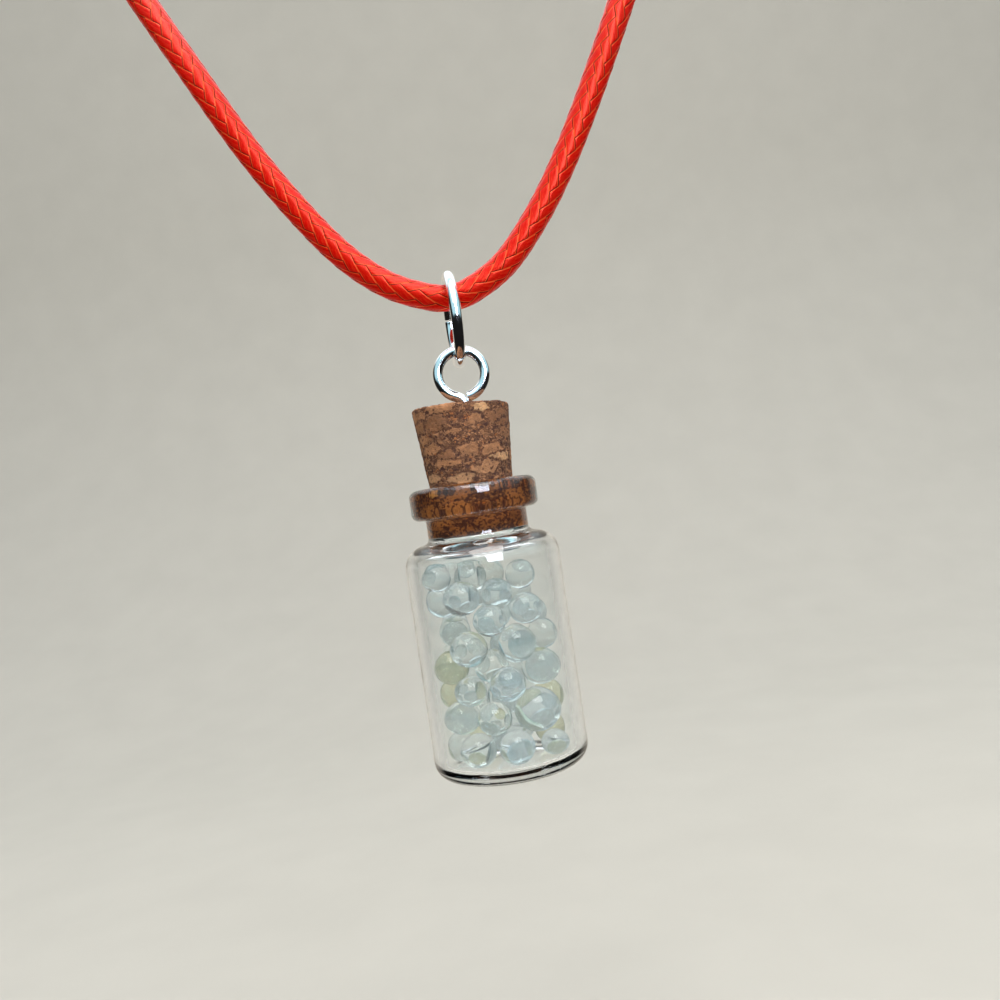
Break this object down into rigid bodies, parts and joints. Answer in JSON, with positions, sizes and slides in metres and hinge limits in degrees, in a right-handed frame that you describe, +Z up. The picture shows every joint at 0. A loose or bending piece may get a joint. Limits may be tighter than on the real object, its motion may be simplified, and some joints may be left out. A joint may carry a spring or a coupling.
{
  "type": "bottle pendant",
  "caption": "Corked glass vial of loose clear glass balls, hung by a screw eye and a jump ring from a red waxed cord closed by a plain barrel clasp.",
  "frame": {"origin": "the point at the nape where the clasp rests on the neck", "axes": "+X to the wearer's left, which is the right of the picture, +Y to the wearer's back, +Z up; the pendant hangs in front, towards -Y"},
  "size_m": [0.115, 0.1211, 0.1515],
  "materials": {
    "waxed_cord": "braided polyester, waxed to a gloss",
    "clasp_metal": "polished silver plate",
    "ring_metal": "polished silver plate",
    "eye_metal": "bright nickel plate",
    "cork": "agglomerated cork, ground",
    "bottle_glass": "clear, fire polished",
    "ball_glass": "clear, slightly milky"
  },
  "bodies": {
    "necklace": {"cord": "waxed_cord", "clasp": "clasp_metal"},
    "ring": {"jump_ring": "ring_metal"},
    "drop": {"screw_eye": "eye_metal", "cork": "cork", "bottle": "bottle_glass", "glass_balls": "ball_glass"}
  },
  "joints": [
    {"name": "ring_swing", "type": "hinge", "parent": "necklace", "child": "ring", "pos_m": [0, -0.112, -0.116], "axis": [1, 0, 0], "range_deg": [-80, 80]},
    {"name": "bottle_sway", "type": "hinge", "parent": "ring", "child": "drop", "pos_m": [0, -0.112, -0.12065], "axis": [-0.1045, 0.9945, 0], "range_deg": [-80, 80]}
  ]
}
